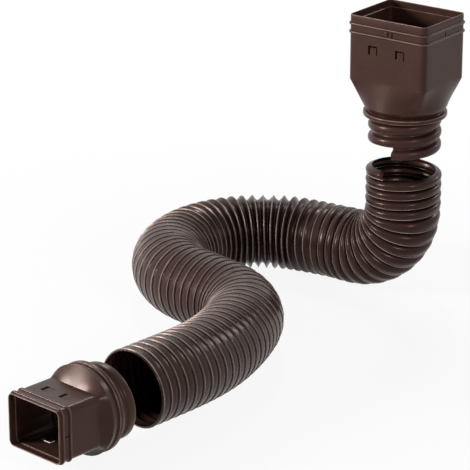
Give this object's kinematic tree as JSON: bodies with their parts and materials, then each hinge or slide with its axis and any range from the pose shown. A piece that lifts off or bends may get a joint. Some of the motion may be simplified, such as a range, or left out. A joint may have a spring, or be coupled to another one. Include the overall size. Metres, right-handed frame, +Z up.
{
  "type": "flexible downspout extension",
  "caption": "Corrugated flexible drain hose bent in an S, with a riser and a rectangular threaded adapter unscrewed from each mouth.",
  "frame": {"origin": "On the ground under the middle of the whole object's box, with both adapters in their unscrewed places.", "axes": "+Z up out of the inlet adapter's mouth, -Y out of the outlet adapter's mouth, +X to the outlet's left when looking into its mouth from outside."},
  "size_m": [0.3768, 0.7077, 0.3541],
  "materials": {
    "hose_plastic": "dark brown blow-moulded plastic, satin gloss, lighter along the folds",
    "adapter_plastic": "dark brown injection-moulded plastic, satin gloss with a fine grain"
  },
  "bodies": {
    "hose": {"hose": "hose_plastic"},
    "inlet_adapter": {"inlet_adapter": "adapter_plastic"},
    "outlet_adapter": {"outlet_adapter": "adapter_plastic"}
  },
  "joints": [
    {"name": "inlet_adapter_lift", "type": "slide", "parent": "hose", "child": "inlet_adapter", "axis": [0, 0, 1], "range_m": [-0.01, 0.1]},
    {"name": "outlet_adapter_draw", "type": "slide", "parent": "hose", "child": "outlet_adapter", "axis": [0, -1, 0], "range_m": [-0.019, 0.1]}
  ]
}
